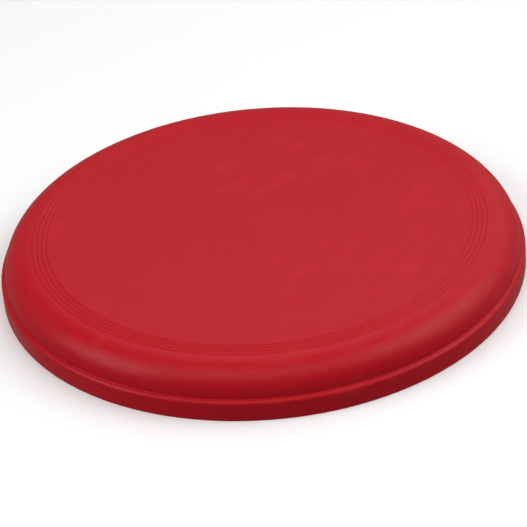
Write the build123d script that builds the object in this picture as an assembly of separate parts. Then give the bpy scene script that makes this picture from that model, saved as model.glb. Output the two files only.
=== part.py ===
from build123d import *

import os
from math import hypot

# A flying disc moulded in one shot, lying on its open side. Millimetres, +Z up. The origin is on the disc's
# axis, at the level of the foot that it rests on. The section is drawn in the XZ plane, from the axis
# outwards, and turned about Z.

# Flight plate
PLATE_TOP = 20.2            # upper face of the plate above the foot
PLATE_WALL = 1.6

# Fine raised rings on the edge of the plate
RING_COUNT = 4
FIRST_RING_RADIUS = 86.6
RING_PITCH = 1.92
RING_WIDTH = 1.5
RING_HEIGHT = 0.3

# Shoulder: a quarter ellipse from the last ring down to the rim band
SHOULDER_START = FIRST_RING_RADIUS + (RING_COUNT - 1) * RING_PITCH + RING_WIDTH / 2
SHOULDER_RADIUS = 105.2     # radius where the shoulder stands upright
SHOULDER_FOOT = 9.3         # height of that place
SHOULDER_WALL = 1.8

# Rim band: stands proud of the shoulder, with a rounded upper edge and a flat foot
OUTER_RADIUS = 107.0
BAND_TOP = 8.6
BAND_ROUND = 1.7            # radius of the upper edge
VALLEY_ROUND = 0.4          # radius of the hollow between shoulder and band
FOOT_INNER_RADIUS = 104.0   # the inner wall leans in from here, for mould draft
FOOT_ROUND = 0.4            # radius of both edges of the foot

# Injection gate under the middle of the plate: a stub in a shallow well
GATE_WELL_RADIUS = 5.0
GATE_WELL_DEPTH = 0.3
GATE_STUB_RADIUS = 1.2
GATE_STUB_HEIGHT = 0.6


def outer_line():
    """Outer skin, from the axis over the shoulder and the band to the foot's outer edge."""
    plate_edge = (SHOULDER_START, PLATE_TOP)
    round_centre = (OUTER_RADIUS - BAND_ROUND, BAND_TOP - BAND_ROUND)
    valley_x = SHOULDER_RADIUS + VALLEY_ROUND
    reach = BAND_ROUND + VALLEY_ROUND
    valley_z = round_centre[1] + (reach**2 - (valley_x - round_centre[0]) ** 2) ** 0.5
    share = BAND_ROUND / reach
    meeting = (
        round_centre[0] + (valley_x - round_centre[0]) * share,
        round_centre[1] + (valley_z - round_centre[1]) * share,
    )
    valley_centre = (valley_x, valley_z)
    valley_top = (SHOULDER_RADIUS, valley_z)
    band_side = (OUTER_RADIUS, round_centre[1])
    Line((0, PLATE_TOP), plate_edge)
    EllipticalCenterArc(
        (SHOULDER_START, SHOULDER_FOOT),
        SHOULDER_RADIUS - SHOULDER_START,
        PLATE_TOP - SHOULDER_FOOT,
        arc_size=90,
    )
    Line((SHOULDER_RADIUS, SHOULDER_FOOT), valley_top)
    ThreePointArc(valley_top, point_on_circle(valley_centre, VALLEY_ROUND, valley_top, meeting), meeting)
    ThreePointArc(meeting, point_on_circle(round_centre, BAND_ROUND, meeting, band_side), band_side)
    Line(band_side, (OUTER_RADIUS, 0))


def point_on_circle(centre, radius, start, end):
    """Point of a circle halfway between two others on it."""
    middle = ((start[0] + end[0]) / 2 - centre[0], (start[1] + end[1]) / 2 - centre[1])
    scale = radius / hypot(*middle)
    return (centre[0] + middle[0] * scale, centre[1] + middle[1] * scale)


def inner_line():
    """Inner skin, from the foot's inner edge up under the shoulder and the plate to the axis."""
    inner_radius = SHOULDER_RADIUS - SHOULDER_WALL
    inner_top = PLATE_TOP - PLATE_WALL
    Line((OUTER_RADIUS, 0), (FOOT_INNER_RADIUS, 0))
    Line((FOOT_INNER_RADIUS, 0), (inner_radius, SHOULDER_FOOT))
    EllipticalCenterArc(
        (SHOULDER_START, SHOULDER_FOOT),
        inner_radius - SHOULDER_START,
        inner_top - SHOULDER_FOOT,
        arc_size=90,
    )
    Line((SHOULDER_START, inner_top), (0, inner_top))
    Line((0, inner_top), (0, PLATE_TOP))


def shell():
    """Plate, shoulder and rim band, with the edges of the foot rounded."""
    with BuildPart() as body:
        with BuildSketch(Plane.XZ):
            with BuildLine():
                outer_line()
                inner_line()
            make_face()
        revolve(axis=Axis.Z)
        fillet(body.edges().group_by(Axis.Z)[0], radius=FOOT_ROUND)
    return body.part


def ring(radius):
    """One raised ring: a flat arch on the plate, sunk into it by its own height."""
    half = RING_WIDTH / 2
    root = PLATE_TOP - RING_HEIGHT
    with BuildPart() as arch:
        with BuildSketch(Plane.XZ):
            with BuildLine():
                Polyline(
                    (radius - half, PLATE_TOP),
                    (radius - half, root),
                    (radius + half, root),
                    (radius + half, PLATE_TOP),
                )
                ThreePointArc(
                    (radius - half, PLATE_TOP),
                    (radius, PLATE_TOP + RING_HEIGHT),
                    (radius + half, PLATE_TOP),
                )
            make_face()
        revolve(axis=Axis.Z)
    return arch.part


def gate_well():
    """Shallow round well under the middle of the plate."""
    underside = PLATE_TOP - PLATE_WALL
    well = Cylinder(GATE_WELL_RADIUS, GATE_WELL_DEPTH, align=(Align.CENTER, Align.CENTER, Align.MIN))
    return Pos(0, 0, underside) * well


def gate_stub():
    """Broken-off stub of the injection gate, standing down from the floor of the well."""
    well_floor = PLATE_TOP - PLATE_WALL + GATE_WELL_DEPTH
    stub = Cylinder(GATE_STUB_RADIUS, GATE_STUB_HEIGHT, align=(Align.CENTER, Align.CENTER, Align.MAX))
    return Pos(0, 0, well_floor) * stub


def disc():
    """The whole moulding."""
    body = shell() - gate_well() + gate_stub()
    for index in range(RING_COUNT):
        body += ring(FIRST_RING_RADIUS + index * RING_PITCH)
    return body


os.makedirs("parts", exist_ok=True)
moulding = disc()
moulding.label = "disc"
export_step(moulding, "parts/disc.step")
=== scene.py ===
import logging
import math
from dataclasses import dataclass, field
from enum import Enum
from typing import Iterable

import bpy
from mathutils import Matrix, Vector


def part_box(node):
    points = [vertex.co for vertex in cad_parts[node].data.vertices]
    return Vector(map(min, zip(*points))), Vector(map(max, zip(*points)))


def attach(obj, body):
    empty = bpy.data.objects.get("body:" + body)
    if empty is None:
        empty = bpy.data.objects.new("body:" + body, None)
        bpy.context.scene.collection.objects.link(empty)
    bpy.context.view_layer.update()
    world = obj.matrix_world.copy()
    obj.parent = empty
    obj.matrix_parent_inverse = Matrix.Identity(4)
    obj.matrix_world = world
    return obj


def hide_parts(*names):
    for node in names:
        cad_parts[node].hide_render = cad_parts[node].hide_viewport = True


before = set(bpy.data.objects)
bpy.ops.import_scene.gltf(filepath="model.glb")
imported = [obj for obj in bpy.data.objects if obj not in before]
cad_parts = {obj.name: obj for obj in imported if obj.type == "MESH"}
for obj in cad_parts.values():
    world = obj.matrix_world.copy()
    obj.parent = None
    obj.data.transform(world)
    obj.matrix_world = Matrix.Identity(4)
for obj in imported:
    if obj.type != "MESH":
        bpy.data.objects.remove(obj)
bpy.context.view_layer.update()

MM = 0.001
LOG = logging.getLogger("flying_disc")
NODE = "disc"
BODY = "root"
SKIN_ATTRIBUTE = "skin"

Point = tuple[float, float]
Range = tuple[float, float]
Colour = tuple[float, float, float]


class Skin(Enum):
    """Which face of the moulding a stretch of the section belongs to."""

    OUTER = 0.0
    INNER = 1.0


def arc(centre: Point, radius: Point, start: float, end: float, steps: int) -> list[Point]:
    """Points along an arc of an ellipse, angles in degrees from the outward direction, both ends included."""
    turns = (math.radians(start + (end - start) * k / steps) for k in range(steps + 1))
    return [(centre[0] + radius[0] * math.cos(t), centre[1] + radius[1] * math.sin(t)) for t in turns]


def stations(start: Point, end: Point, steps: int) -> list[Point]:
    """Evenly spaced points on a straight line.

    Args:
        start: First end.
        end: Last end.
        steps: Number of stretches between points.

    Returns:
        The points in order, both ends included.
    """
    return [
        (start[0] + (end[0] - start[0]) * k / steps, start[1] + (end[1] - start[1]) * k / steps)
        for k in range(steps + 1)
    ]


@dataclass(frozen=True)
class RingSet:
    """Fine raised rings on the plate, sizes in metres."""

    count: int = 4
    first_radius: float = 86.6 * MM
    pitch: float = 1.92 * MM
    width: float = 1.7 * MM
    height: float = 0.3 * MM

    @property
    def inner_edge(self) -> float:
        """Radius where the first ring starts."""
        return self.first_radius - self.width / 2


@dataclass(frozen=True)
class Waviness:
    """Shallow waves that a thin moulding is left with as it cools, sizes in metres."""

    height: float = 0.05 * MM
    length: float = 34.0 * MM
    seed: float = 7.0


@dataclass(frozen=True)
class Fineness:
    """How many stretches each part of the section is cut into."""

    plate: int = 24
    rings: int = 56
    shoulder: int = 34
    valley: int = 6
    crown: int = 14
    side: int = 3
    foot_edge: int = 5
    inner_wall: int = 4
    inner_shoulder: int = 22
    underside: int = 20


@dataclass(frozen=True)
class Section:
    """Cross-section of the moulding as a chain of points, sizes in metres.

    The chain runs from the middle of the upper face over the shoulder, the rim band and the foot, and back
    along the inside to the middle of the underside.
    """

    outer_radius: float
    plate_top: float
    rings: RingSet
    plate_wall: float = 1.6 * MM
    shoulder_start: float = 93.11 * MM
    shoulder_radius: float = 105.2 * MM
    shoulder_foot: float = 9.3 * MM
    shoulder_wall: float = 1.8 * MM
    band_top: float = 8.6 * MM
    band_round: float = 1.7 * MM
    valley_round: float = 0.4 * MM
    foot_inner_radius: float = 104.0 * MM
    foot_round: float = 0.4 * MM
    gate_well_radius: float = 5.0 * MM
    gate_well_depth: float = 0.3 * MM
    gate_stub_radius: float = 1.2 * MM
    gate_stub_height: float = 0.6 * MM
    gate_ease: float = 0.1 * MM
    ring_margin: float = 0.3 * MM
    fineness: Fineness = field(default_factory=Fineness)

    def upper_face(self) -> list[Point]:
        """Plate and rings, with close points where the rings rise.

        Returns:
            The points from the axis to the start of the shoulder.
        """
        middle = (0.0, self.plate_top)
        flat_end = (self.rings.inner_edge - self.ring_margin, self.plate_top)
        plate_edge = (self.shoulder_start, self.plate_top)
        plain = stations(middle, flat_end, self.fineness.plate)
        ringed = stations(flat_end, plate_edge, self.fineness.rings)
        return plain + ringed[1:]

    def shoulder(self) -> list[Point]:
        """Quarter ellipse from the plate down to the upright wall above the band.

        Returns:
            The points after the plate's edge.
        """
        centre = (self.shoulder_start, self.shoulder_foot)
        radius = (self.shoulder_radius - self.shoulder_start, self.plate_top - self.shoulder_foot)
        return arc(centre, radius, 90, 0, self.fineness.shoulder)[1:]

    def band(self) -> list[Point]:
        """Valley between shoulder and band, the band's rounded upper edge and its side.

        Returns:
            The points from the shoulder's foot down to the foot of the band.
        """
        round_centre = (self.outer_radius - self.band_round, self.band_top - self.band_round)
        valley_x = self.shoulder_radius + self.valley_round
        reach = self.band_round + self.valley_round
        offset = valley_x - round_centre[0]
        valley_centre = (valley_x, round_centre[1] + math.sqrt(reach**2 - offset**2))
        meeting = math.degrees(math.acos(offset / reach))
        valley = arc(valley_centre, (self.valley_round,) * 2, 180, 180 + meeting, self.fineness.valley)
        crown = arc(round_centre, (self.band_round,) * 2, meeting, 0, self.fineness.crown)
        side = stations(crown[-1], (self.outer_radius, self.foot_round), self.fineness.side)
        return valley + crown[1:] + side[1:]

    def foot(self) -> list[Point]:
        """Flat foot between its two rounded edges.

        Returns:
            The points from the band's side to the inner wall.
        """
        edge = (self.foot_round,) * 2
        outer_centre = (self.outer_radius - self.foot_round, self.foot_round)
        inner_centre = (self.foot_inner_radius + self.foot_round, self.foot_round)
        outer = arc(outer_centre, edge, 0, -90, self.fineness.foot_edge)
        inner = arc(inner_centre, edge, -90, -180, self.fineness.foot_edge)
        return outer[1:] + inner

    def inside(self) -> list[Point]:
        """Inner wall, the hollow of the shoulder and the underside of the plate.

        Returns:
            The points from the foot to the gate's well.
        """
        inner_radius = self.shoulder_radius - self.shoulder_wall
        inner_top = self.plate_top - self.plate_wall
        wall_foot = (self.foot_inner_radius, self.foot_round)
        wall = stations(wall_foot, (inner_radius, self.shoulder_foot), self.fineness.inner_wall)
        centre = (self.shoulder_start, self.shoulder_foot)
        radius = (inner_radius - self.shoulder_start, inner_top - self.shoulder_foot)
        hollow = arc(centre, radius, 0, 90, self.fineness.inner_shoulder)
        well_edge = (self.gate_well_radius, inner_top)
        flat = stations((self.shoulder_start, inner_top), well_edge, self.fineness.underside)
        return wall[1:] + hollow[1:] + flat[1:]

    def gate(self) -> list[Point]:
        """Shallow well under the middle of the plate, with the broken-off stub of the gate in it.

        Returns:
            The points from the edge of the well to the axis.
        """
        floor = self.plate_top - self.plate_wall + self.gate_well_depth
        tip = floor - self.gate_stub_height
        ease = self.gate_ease
        return [
            (self.gate_well_radius - ease, floor),
            (self.gate_stub_radius + ease, floor),
            (self.gate_stub_radius, floor - ease),
            (self.gate_stub_radius, tip + ease),
            (self.gate_stub_radius - ease, tip),
            (0.0, tip + ease / 2),
        ]

    def chain(self) -> list[tuple[Point, Skin]]:
        """Joins the stretches of the section.

        Returns:
            All points in order, each with the skin that it lies on.
        """
        outer = self.upper_face() + self.shoulder() + self.band()
        inner = self.foot() + self.inside() + self.gate()
        return [(p, Skin.OUTER) for p in outer] + [(p, Skin.INNER) for p in inner]

    def to_object(self, name: str) -> bpy.types.Object:
        """Makes the chain an object of vertices and edges in the XZ plane.

        Args:
            name: Name of the object.

        Returns:
            The object, whose vertices carry their skin as an attribute.
        """
        points = self.chain()
        mesh = bpy.data.meshes.new(name)
        edges = [(k, k + 1) for k in range(len(points) - 1)]
        mesh.from_pydata([(r, 0.0, z) for (r, z), _ in points], edges, [])
        skin = mesh.attributes.new(SKIN_ATTRIBUTE, "FLOAT", "POINT")
        skin.data.foreach_set("value", [s.value for _, s in points])
        piece = bpy.data.objects.new(name, mesh)
        bpy.context.scene.collection.objects.link(piece)
        return piece


class TreeBuilder:
    """Short words for building a Geometry Nodes tree with named inputs."""

    def __init__(self, name: str) -> None:
        """Starts an empty tree with a geometry input and output.

        Args:
            name: Name of the tree.
        """
        self.tree = bpy.data.node_groups.new(name, "GeometryNodeTree")
        self.inputs: dict[str, str] = {}
        self.add_input("Section", "NodeSocketGeometry")
        self.tree.interface.new_socket("Geometry", in_out="OUTPUT", socket_type="NodeSocketGeometry")
        self.start = self.tree.nodes.new("NodeGroupInput")
        self.end = self.tree.nodes.new("NodeGroupOutput")

    def add_input(self, name: str, kind: str) -> None:
        """Adds a named input of a given socket type to the tree."""
        socket = self.tree.interface.new_socket(name, in_out="INPUT", socket_type=kind)
        self.inputs[name] = socket.identifier

    def given(self, name: str) -> bpy.types.NodeSocket:
        """Socket that carries a named input."""
        return self.start.outputs[name]

    def plug(self, socket: bpy.types.NodeSocket, value: object) -> None:
        """Links a socket into an input, or sets the input to a constant.

        Args:
            socket: The input.
            value: Another node's output socket, or a number, vector or name.
        """
        if isinstance(value, bpy.types.NodeSocket):
            self.tree.links.new(value, socket)
        else:
            socket.default_value = value

    def node(self, kind: str, settings: dict[str, object], **links: object) -> bpy.types.Node:
        """Adds a node.

        Args:
            kind: Node type.
            settings: Properties of the node.
            **links: Values for its inputs, by socket name with spaces as underscores.

        Returns:
            The node.
        """
        made = self.tree.nodes.new(kind)
        for key, value in settings.items():
            setattr(made, key, value)
        for key, value in links.items():
            self.plug(made.inputs[key.replace("_", " ")], value)
        return made

    def math(self, operation: str, *values: object) -> bpy.types.NodeSocket:
        """Adds a math node and returns its result.

        Args:
            operation: Name of the operation.
            *values: Its operands, each a socket or a number.

        Returns:
            The socket with the result.
        """
        made = self.node("ShaderNodeMath", {"operation": operation})
        for socket, value in zip(made.inputs, values):
            self.plug(socket, value)
        return made.outputs[0]


class MaterialBuilder:
    """Short words for making and linking a material's nodes."""

    def __init__(self, name: str) -> None:
        """Starts a material with its own Principled shader.

        Args:
            name: Name of the material.
        """
        self.material = bpy.data.materials.new(name)
        self.material.use_nodes = True
        self.tree = self.material.node_tree
        self.shader = self.tree.nodes["Principled BSDF"]
        self.place = self.tree.nodes.new("ShaderNodeTexCoord").outputs["Object"]

    def link(self, value: bpy.types.NodeSocket, target: bpy.types.NodeSocket) -> None:
        """Links one socket into another."""
        self.tree.links.new(value, target)

    def noise(
        self, size: float, detail: float, place: bpy.types.NodeSocket | None = None
    ) -> bpy.types.NodeSocket:
        """Adds a noise pattern.

        Args:
            size: Rough size of a patch, in metres.
            detail: Number of finer octaves.
            place: Coordinates in metres, or None for the object's own.

        Returns:
            The pattern, from 0 to 1.
        """
        made = self.tree.nodes.new("ShaderNodeTexNoise")
        made.inputs["Scale"].default_value = 1.0 / size
        made.inputs["Detail"].default_value = detail
        self.link(place or self.place, made.inputs["Vector"])
        return made.outputs["Fac"]

    def spread(
        self, value: bpy.types.NodeSocket, source: Range, target: Range
    ) -> bpy.types.NodeSocket:
        """Maps one range of values onto another, with a smooth step between the ends.

        Args:
            value: The values to map.
            source: Range to read.
            target: Range to give.

        Returns:
            The mapped values.
        """
        made = self.tree.nodes.new("ShaderNodeMapRange")
        made.interpolation_type = "SMOOTHSTEP"
        for name, bound in zip(("From Min", "From Max", "To Min", "To Max"), (*source, *target)):
            made.inputs[name].default_value = bound
        self.link(value, made.inputs["Value"])
        return made.outputs["Result"]

    def combine(self, operation: str, *values: bpy.types.NodeSocket | float) -> bpy.types.NodeSocket:
        """Adds a math node.

        Args:
            operation: Name of the operation.
            *values: Its operands, each a socket or a number.

        Returns:
            The socket with the result.
        """
        made = self.tree.nodes.new("ShaderNodeMath")
        made.operation = operation
        for socket, value in zip(made.inputs, values):
            if isinstance(value, bpy.types.NodeSocket):
                self.link(value, socket)
            else:
                socket.default_value = value
        return made.outputs[0]

    def mix(
        self, share: bpy.types.NodeSocket, start: bpy.types.NodeSocket | Colour, end: Colour
    ) -> bpy.types.NodeSocket:
        """Mixes two colours.

        Args:
            share: How much of the second colour shows.
            start: First colour, a socket or red, green and blue.
            end: Second colour.

        Returns:
            The mixed colour.
        """
        made = self.tree.nodes.new("ShaderNodeMix")
        made.data_type = "RGBA"
        if isinstance(start, bpy.types.NodeSocket):
            self.link(start, made.inputs["A"])
        else:
            made.inputs["A"].default_value = (*start, 1.0)
        made.inputs["B"].default_value = (*end, 1.0)
        self.link(share, made.inputs["Factor"])
        return made.outputs["Result"]

    def from_axis(self) -> bpy.types.NodeSocket:
        """Measures how far each place is from the object's upright axis.

        Returns:
            The distance, in metres.
        """
        flat = self.tree.nodes.new("ShaderNodeVectorMath")
        flat.operation = "MULTIPLY"
        flat.inputs[1].default_value = (1.0, 1.0, 0.0)
        self.link(self.place, flat.inputs[0])
        reach = self.tree.nodes.new("ShaderNodeVectorMath")
        reach.operation = "LENGTH"
        self.link(flat.outputs[0], reach.inputs[0])
        return reach.outputs["Value"]


@dataclass(frozen=True)
class MouldedRed:
    """Satin red plastic straight from the mould, with a fine spark-eroded grain and faint flow marks."""

    red: Colour = (0.443, 0.0018, 0.0082)
    pale: Colour = (0.457, 0.0026, 0.0102)
    scuffed: Colour = (0.475, 0.0075, 0.0145)
    specular_level: float = 0.2
    roughness: Range = (0.36, 0.44)
    roughness_share: Range = (0.3, 0.7)
    scuff_roughness: float = 0.08
    core_polish: float = -0.08
    cloud_size: float = 26.0 * MM
    cloud_detail: float = 3.0
    wear_size: float = 10.4 * MM
    wear_detail: float = 4.0
    wisp_size: float = 6.0 * MM
    wisp_detail: float = 4.0
    wisp_share: Range = (0.5, 0.68)
    wisp_stretch: float = 2.6
    wisp_turn: float = 45.0
    patch_size: float = 41.6 * MM
    patch_detail: float = 1.0
    patch_share: Range = (0.48, 0.62)
    grain_size: float = 0.45 * MM
    grain_detail: float = 2.0
    grain_height: float = 0.006 * MM
    turning_pitch: float = 0.6 * MM
    turning_height: float = 0.004 * MM

    def build(self) -> bpy.types.Material:
        """Makes the material.

        Returns:
            A material whose patterns read the object's own coordinates and its skin attribute.
        """
        builder = MaterialBuilder("moulded_red")
        builder.shader.inputs["Specular IOR Level"].default_value = self.specular_level
        scuffs = self.scuffs(builder)
        inner = self.inner_skin(builder)
        self.colour(builder, scuffs)
        self.sheen(builder, scuffs, inner)
        self.relief(builder, inner)
        return builder.material

    def inner_skin(self, builder: MaterialBuilder) -> bpy.types.NodeSocket:
        """Reads which surfaces the mould's core made.

        Args:
            builder: The material's builder.

        Returns:
            1 inside and underneath, 0 on the outer face.
        """
        skin = builder.tree.nodes.new("ShaderNodeAttribute")
        skin.attribute_name = SKIN_ATTRIBUTE
        return skin.outputs["Fac"]

    def scuffs(self, builder: MaterialBuilder) -> bpy.types.NodeSocket:
        """Faint wisps, long one way and gathered in patches, where the melt flowed and hands have rubbed.

        Args:
            builder: The material's builder.

        Returns:
            How strongly a wisp shows, from 0 to 1.
        """
        turned = builder.tree.nodes.new("ShaderNodeMapping")
        turned.vector_type = "TEXTURE"
        turned.inputs["Rotation"].default_value = (0.0, 0.0, math.radians(self.wisp_turn))
        turned.inputs["Scale"].default_value = (self.wisp_stretch, 1.0, 1.0)
        builder.link(builder.place, turned.inputs["Vector"])
        long_noise = builder.noise(self.wisp_size, self.wisp_detail, turned.outputs["Vector"])
        wisps = builder.spread(long_noise, self.wisp_share, (0.0, 1.0))
        wide_noise = builder.noise(self.patch_size, self.patch_detail)
        patches = builder.spread(wide_noise, self.patch_share, (0.0, 1.0))
        return builder.combine("MULTIPLY", wisps, patches)

    def colour(self, builder: MaterialBuilder, scuffs: bpy.types.NodeSocket) -> None:
        """Mixes the two reds in soft clouds and pales them on the wisps."""
        clouds = builder.mix(builder.noise(self.cloud_size, self.cloud_detail), self.red, self.pale)
        builder.link(builder.mix(scuffs, clouds, self.scuffed), builder.shader.inputs["Base Color"])

    def sheen(
        self, builder: MaterialBuilder, scuffs: bpy.types.NodeSocket, inner: bpy.types.NodeSocket
    ) -> None:
        """Varies the roughness in patches: duller on the wisps, smoother where the polished core was.

        Args:
            builder: The material's builder.
            scuffs: How strongly a wisp shows.
            inner: 1 on the inner skin and 0 on the outer one.
        """
        wear = builder.noise(self.wear_size, self.wear_detail)
        patches = builder.spread(wear, self.roughness_share, self.roughness)
        worn = builder.combine("MULTIPLY_ADD", scuffs, self.scuff_roughness, patches)
        polished = builder.combine("MULTIPLY_ADD", inner, self.core_polish, worn)
        builder.link(polished, builder.shader.inputs["Roughness"])

    def relief(self, builder: MaterialBuilder, inner: bpy.types.NodeSocket) -> None:
        """Raises the mould's grain on the outer face and the turned core's fine rings on the inner one.

        Args:
            builder: The material's builder.
            inner: 1 on the inner skin and 0 on the outer one.
        """
        pebbles = builder.noise(self.grain_size, self.grain_detail)
        outer = builder.combine("SUBTRACT", 1.0, inner)
        grain = builder.combine("MULTIPLY", builder.combine("MULTIPLY", pebbles, outer), self.grain_height)
        angle = builder.combine("MULTIPLY", builder.from_axis(), math.tau / self.turning_pitch)
        turns = builder.combine("SINE", angle)
        rings = builder.combine("MULTIPLY", builder.combine("MULTIPLY", turns, inner), self.turning_height)
        bump = builder.tree.nodes.new("ShaderNodeBump")
        bump.inputs["Strength"].default_value = 1.0
        bump.inputs["Distance"].default_value = 1.0
        builder.link(builder.combine("ADD", grain, rings), bump.inputs["Height"])
        builder.link(bump.outputs["Normal"], builder.shader.inputs["Normal"])


@dataclass
class Moulding:
    """The one-piece disc: its section turned about the axis, with rings, waviness and finish."""

    outer_radius: float
    height: float
    rings: RingSet = field(default_factory=RingSet)
    waviness: Waviness = field(default_factory=Waviness)
    finish: MouldedRed = field(default_factory=MouldedRed)
    segments: int = 384
    weld: float = 0.001 * MM
    sharp_angle: float = 0.6

    def build(self) -> bpy.types.Object:
        """Builds and dresses the piece.

        Returns:
            The finished plain mesh, riding on the frame in place of the CAD node.
        """
        section = Section(self.outer_radius, self.height - self.rings.height, self.rings)
        piece = section.to_object("moulded_disc")
        builder = self.grow_tree()
        self.set_inputs(piece, builder)
        self.settle(piece)
        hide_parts(NODE)
        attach(piece, BODY)
        return piece

    def grow_tree(self) -> TreeBuilder:
        """Builds the tree that turns the section about the axis.

        Returns:
            The builder, which knows the identifiers of the tree's inputs.
        """
        b = TreeBuilder("lathe_moulding")
        for name in ("Segments", "Ring Count"):
            b.add_input(name, "NodeSocketInt")
        for name in ("Plate Top", "Ring Radius", "Ring Pitch", "Ring Width", "Ring Height"):
            b.add_input(name, "NodeSocketFloat")
        for name in ("Wave Height", "Wave Length", "Wave Seed"):
            b.add_input(name, "NodeSocketFloat")
        b.add_input("Finish", "NodeSocketMaterial")
        grid, count = self.unrolled_grid(b)
        index = b.node("GeometryNodeInputIndex", {}).outputs[0]
        along = b.math("MODULO", index, count)
        around = b.math("FLOOR", b.math("DIVIDE", b.math("ADD", index, 0.5), count))
        place = self.sampled(b, b.node("GeometryNodeInputPosition", {}).outputs[0], "FLOAT_VECTOR", along)
        skin_here = b.node("GeometryNodeInputNamedAttribute", {"data_type": "FLOAT"}, Name=SKIN_ATTRIBUTE)
        skin = self.sampled(b, skin_here.outputs["Attribute"], "FLOAT", along)
        split = b.node("ShaderNodeSeparateXYZ", {}, Vector=place)
        radius, level = split.outputs["X"], split.outputs["Z"]
        level = b.math("ADD", level, self.ring_rise(b, radius, skin))
        turn = b.math("MULTIPLY", b.math("DIVIDE", around, b.given("Segments")), math.tau)
        x = b.math("MULTIPLY", radius, b.math("COSINE", turn))
        y = b.math("MULTIPLY", radius, b.math("SINE", turn))
        level = b.math("ADD", level, self.wave_rise(b, x, y, level))
        where = b.node("ShaderNodeCombineXYZ", {}, X=x, Y=y, Z=level)
        marked = b.node(
            "GeometryNodeStoreNamedAttribute",
            {"data_type": "FLOAT", "domain": "POINT"},
            Geometry=grid,
            Name=SKIN_ATTRIBUTE,
            Value=skin,
        )
        turned = b.node("GeometryNodeSetPosition", {}, Geometry=marked.outputs[0], Position=where.outputs[0])
        closed = b.node("GeometryNodeMergeByDistance", {}, Geometry=turned.outputs[0], Distance=self.weld)
        outward = b.node("GeometryNodeFlipFaces", {}, Mesh=closed.outputs[0])
        self.close_off(b, outward.outputs[0])
        return b

    def unrolled_grid(self, b: TreeBuilder) -> tuple[bpy.types.NodeSocket, bpy.types.NodeSocket]:
        """Adds a flat grid with one row of points along the section for each step around the axis.

        Args:
            b: The tree's builder.

        Returns:
            The grid, and the number of points in the section.
        """
        size = b.node("GeometryNodeAttributeDomainSize", {"component": "MESH"}, Geometry=b.given("Section"))
        count = size.outputs["Point Count"]
        rows = b.math("ADD", b.given("Segments"), 1.0)
        grid = b.node("GeometryNodeMeshGrid", {}, Vertices_X=rows, Vertices_Y=count)
        return grid.outputs["Mesh"], count

    def sampled(
        self, b: TreeBuilder, value: bpy.types.NodeSocket, kind: str, along: bpy.types.NodeSocket
    ) -> bpy.types.NodeSocket:
        """Reads a value of the section's points at a place along the section.

        Args:
            b: The tree's builder.
            value: The field to read.
            kind: Its data type.
            along: Index of the section's point.

        Returns:
            The value there.
        """
        made = b.node(
            "GeometryNodeSampleIndex",
            {"data_type": kind, "domain": "POINT"},
            Geometry=b.given("Section"),
            Value=value,
            Index=along,
        )
        return made.outputs[0]

    def ring_rise(
        self, b: TreeBuilder, radius: bpy.types.NodeSocket, skin: bpy.types.NodeSocket
    ) -> bpy.types.NodeSocket:
        """Makes the height that the nearest ring adds at a radius, on the outer skin only.

        Args:
            b: The tree's builder.
            radius: Distance from the axis.
            skin: 1 on the inner skin and 0 on the outer one.

        Returns:
            The added height.
        """
        pitch = b.given("Ring Pitch")
        steps = b.math("DIVIDE", b.math("SUBTRACT", radius, b.given("Ring Radius")), pitch)
        last = b.math("SUBTRACT", b.given("Ring Count"), 1.0)
        nearest = b.math("MINIMUM", b.math("MAXIMUM", b.math("ROUND", steps), 0.0), last)
        away = b.math("MULTIPLY", b.math("ABSOLUTE", b.math("SUBTRACT", steps, nearest)), pitch)
        half_width = b.math("MULTIPLY", b.given("Ring Width"), 0.5)
        share = b.math("MINIMUM", b.math("DIVIDE", away, half_width), 1.0)
        swell = b.math("COSINE", b.math("MULTIPLY", share, math.pi))
        arch = b.math("MULTIPLY", b.math("ADD", swell, 1.0), 0.5)
        outer = b.math("SUBTRACT", 1.0, skin)
        return b.math("MULTIPLY", b.math("MULTIPLY", arch, outer), b.given("Ring Height"))

    def wave_rise(
        self,
        b: TreeBuilder,
        x: bpy.types.NodeSocket,
        y: bpy.types.NodeSocket,
        level: bpy.types.NodeSocket,
    ) -> bpy.types.NodeSocket:
        """Makes the height that the shallow waves add, fading to nothing at the foot.

        Args:
            b: The tree's builder.
            x: Place along X.
            y: Place along Y.
            level: Height above the foot.

        Returns:
            The added height.
        """
        flat = b.node("ShaderNodeCombineXYZ", {}, X=x, Y=y, Z=b.given("Wave Seed"))
        pitch = b.math("DIVIDE", 1.0, b.given("Wave Length"))
        noise = b.node("ShaderNodeTexNoise", {}, Vector=flat.outputs[0], Scale=pitch, Detail=1.0)
        swing = b.math("MULTIPLY", b.math("SUBTRACT", noise.outputs[0], 0.5), b.given("Wave Height"))
        fade = b.math("DIVIDE", level, b.given("Plate Top"))
        return b.math("MULTIPLY", swing, b.math("MULTIPLY", fade, fade))

    def close_off(self, b: TreeBuilder, shell: bpy.types.NodeSocket) -> None:
        """Smooths the shell but for its sharp edges, and ends the tree with its finish.

        Args:
            b: The tree's builder.
            shell: The closed shell.
        """
        angle = b.node("GeometryNodeInputMeshEdgeAngle", {}).outputs["Unsigned Angle"]
        sharp = b.node(
            "FunctionNodeCompare",
            {"data_type": "FLOAT", "operation": "GREATER_THAN"},
            A=angle,
            B=self.sharp_angle,
        )
        smooth = b.node("GeometryNodeSetShadeSmooth", {"domain": "FACE"}, Geometry=shell, Shade_Smooth=True)
        creased = b.node(
            "GeometryNodeSetShadeSmooth",
            {"domain": "EDGE"},
            Geometry=smooth.outputs[0],
            Selection=sharp.outputs[0],
            Shade_Smooth=False,
        )
        solid = b.node("GeometryNodeRealizeInstances", {}, Geometry=creased.outputs[0])
        dressed = b.node(
            "GeometryNodeSetMaterial", {}, Geometry=solid.outputs[0], Material=b.given("Finish")
        )
        b.tree.links.new(dressed.outputs[0], b.end.inputs[0])

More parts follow.
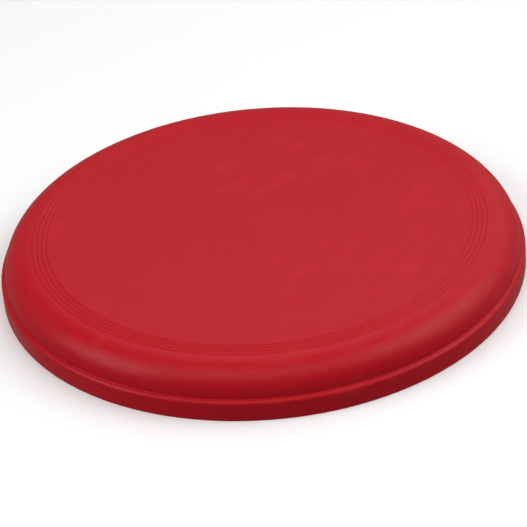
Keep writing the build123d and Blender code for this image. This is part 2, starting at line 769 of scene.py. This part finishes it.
    def set_inputs(self, piece: bpy.types.Object, builder: TreeBuilder) -> None:
        """Puts the tree on the section as a modifier and gives it its sizes.

        Args:
            piece: The object that holds the section.
            builder: The finished tree's builder.
        """
        modifier = piece.modifiers.new("lathe", "NODES")
        modifier.node_group = builder.tree
        values = {
            "Segments": self.segments,
            "Ring Count": self.rings.count,
            "Plate Top": self.height - self.rings.height,
            "Ring Radius": self.rings.first_radius,
            "Ring Pitch": self.rings.pitch,
            "Ring Width": self.rings.width,
            "Ring Height": self.rings.height,
            "Wave Height": self.waviness.height,
            "Wave Length": self.waviness.length,
            "Wave Seed": self.waviness.seed,
            "Finish": self.finish.build(),
        }
        for name, value in values.items():
            modifier[builder.inputs[name]] = value

    def settle(self, piece: bpy.types.Object) -> None:
        """Turns the modifier's result into the piece's own plain mesh.

        Args:
            piece: The object with the modifier.
        """
        bpy.context.view_layer.update()
        seen = piece.evaluated_get(bpy.context.evaluated_depsgraph_get())
        mesh = bpy.data.meshes.new_from_object(seen)
        mesh.name = piece.name
        piece.modifiers.clear()
        piece.data = mesh


@dataclass(frozen=True)
class SoftBox:
    """A square area light that faces the disc, sizes in metres and angles in degrees."""

    name: str
    azimuth: float
    elevation: float
    power: float
    size: float = 0.8
    distance: float = 1.4

    def place(self) -> bpy.types.Object:
        """Makes the light. Azimuth 0 is the camera's side and 90 the right.

        Returns:
            The light's object.
        """
        light = bpy.data.lights.new(self.name, "AREA")
        light.energy = self.power
        light.size = self.size
        lamp = bpy.data.objects.new(self.name, light)
        turn, rise = math.radians(self.azimuth), math.radians(self.elevation)
        away = Vector((math.sin(turn) * math.cos(rise), -math.cos(turn) * math.cos(rise), math.sin(rise)))
        lamp.location = away * self.distance
        lamp.rotation_euler = (-away).to_track_quat("-Z", "Y").to_euler()
        bpy.context.scene.collection.objects.link(lamp)
        return lamp


@dataclass
class Studio:
    """Pale floor, soft lights and a dim surround."""

    floor_size: float = 6.0
    floor_gap: float = 0.05 * MM
    floor_shade: float = 0.95
    floor_roughness: float = 0.9
    surround: float = 0.26
    backdrop: float = 0.97
    sweep_start: float = 0.3
    sweep_end: float = 0.75
    boxes: Iterable[SoftBox] = (
        SoftBox("right_panel", azimuth=90, elevation=32, power=4.8, size=1.2),
        SoftBox("right_back_panel", azimuth=144, elevation=32, power=1.3),
        SoftBox("left_panel", azimuth=286, elevation=32, power=7.6),
        SoftBox("right_lamp", azimuth=90, elevation=47, power=1.4, size=0.5, distance=0.8),
        SoftBox("back_lamp", azimuth=180, elevation=55, power=0.85, size=0.5, distance=0.75),
        SoftBox("front_right_overhead", azimuth=48, elevation=50, power=2.6),
        SoftBox("front_overhead", azimuth=340, elevation=60, power=1.4, size=0.5, distance=0.8),
    )

    def build(self) -> None:
        """Builds the floor, the lights and the surround."""
        self.lay_floor()
        for box in self.boxes:
            box.place()
        self.light_surround()

    def lay_floor(self) -> None:
        """Lays the floor just under the disc's foot."""
        half = self.floor_size / 2
        mesh = bpy.data.meshes.new("floor")
        corners = [(-half, -half, 0.0), (half, -half, 0.0), (half, half, 0.0), (-half, half, 0.0)]
        mesh.from_pydata(corners, [], [(0, 1, 2, 3)])
        mesh.materials.append(self.floor_card())
        floor = bpy.data.objects.new("floor", mesh)
        floor.location.z = -self.floor_gap
        bpy.context.scene.collection.objects.link(floor)
        floor.visible_glossy = False
        floor.visible_diffuse = False

    def floor_card(self) -> bpy.types.Material:
        """Makes the floor's finish: matt card that runs out into the even white of the backdrop.

        Returns:
            The material.
        """
        builder = MaterialBuilder("floor_card")
        builder.shader.inputs["Base Color"].default_value = (self.floor_shade,) * 3 + (1.0,)
        builder.shader.inputs["Roughness"].default_value = self.floor_roughness
        glow = builder.tree.nodes.new("ShaderNodeEmission")
        glow.inputs["Color"].default_value = (self.backdrop,) * 3 + (1.0,)
        sweep = builder.spread(builder.from_axis(), (self.sweep_start, self.sweep_end), (0.0, 1.0))
        join = builder.tree.nodes.new("ShaderNodeMixShader")
        for socket, value in zip(join.inputs, (sweep, builder.shader.outputs[0], glow.outputs[0])):
            builder.link(value, socket)
        builder.link(join.outputs[0], builder.tree.nodes["Material Output"].inputs["Surface"])
        return builder.material

    def light_surround(self) -> None:
        """Gives the room an even, dim light, and a pale backdrop behind the floor's edge."""
        world = bpy.data.worlds.new("surround")
        world.use_nodes = True
        tree = world.node_tree
        seen = tree.nodes.new("ShaderNodeLightPath").outputs["Is Camera Ray"]
        shade = tree.nodes.new("ShaderNodeMapRange")
        shade.inputs["To Min"].default_value = self.surround
        shade.inputs["To Max"].default_value = self.backdrop
        tree.links.new(seen, shade.inputs["Value"])
        tree.links.new(shade.outputs["Result"], tree.nodes["Background"].inputs["Color"])
        bpy.context.scene.world = world
        bpy.context.scene.view_settings.view_transform = "Standard"


@dataclass(frozen=True)
class Viewpoint:
    """A long lens above the front of the disc, held slightly out of level."""

    elevation: float = 32.6
    roll: float = -5.135
    distance: float = 0.963
    lens: float = 160.25
    sensor: float = 36.0
    near: float = 0.05
    far: float = 20.0
    aim: tuple[float, float, float] = (0.0, 0.36 * MM, 0.56 * MM)

    def place(self) -> bpy.types.Object:
        """Makes the camera and gives the scene its view.

        Returns:
            The camera.
        """
        data = bpy.data.cameras.new("viewpoint")
        data.lens = self.lens
        data.sensor_width = self.sensor
        data.clip_start = self.near
        data.clip_end = self.far
        camera = bpy.data.objects.new("viewpoint", data)
        rise = math.radians(self.elevation)
        away = Vector((0.0, -math.cos(rise), math.sin(rise)))
        level = (-away).to_track_quat("-Z", "Y").to_matrix()
        held = level @ Matrix.Rotation(math.radians(self.roll), 3, "Z")
        camera.matrix_world = Matrix.Translation(Vector(self.aim) + away * self.distance) @ held.to_4x4()
        bpy.context.scene.collection.objects.link(camera)
        bpy.context.scene.camera = camera
        return camera


def main() -> None:
    """Builds the disc, the studio and the camera in order."""
    logging.basicConfig(level=logging.INFO, format="%(name)s: %(message)s")
    top_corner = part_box(NODE)[1]
    disc = Moulding(outer_radius=top_corner.x, height=top_corner.z).build()
    LOG.info("%s: %d faces", disc.name, len(disc.data.polygons))
    Studio().build()
    Viewpoint().place()


if __name__ == "__main__":
    main()
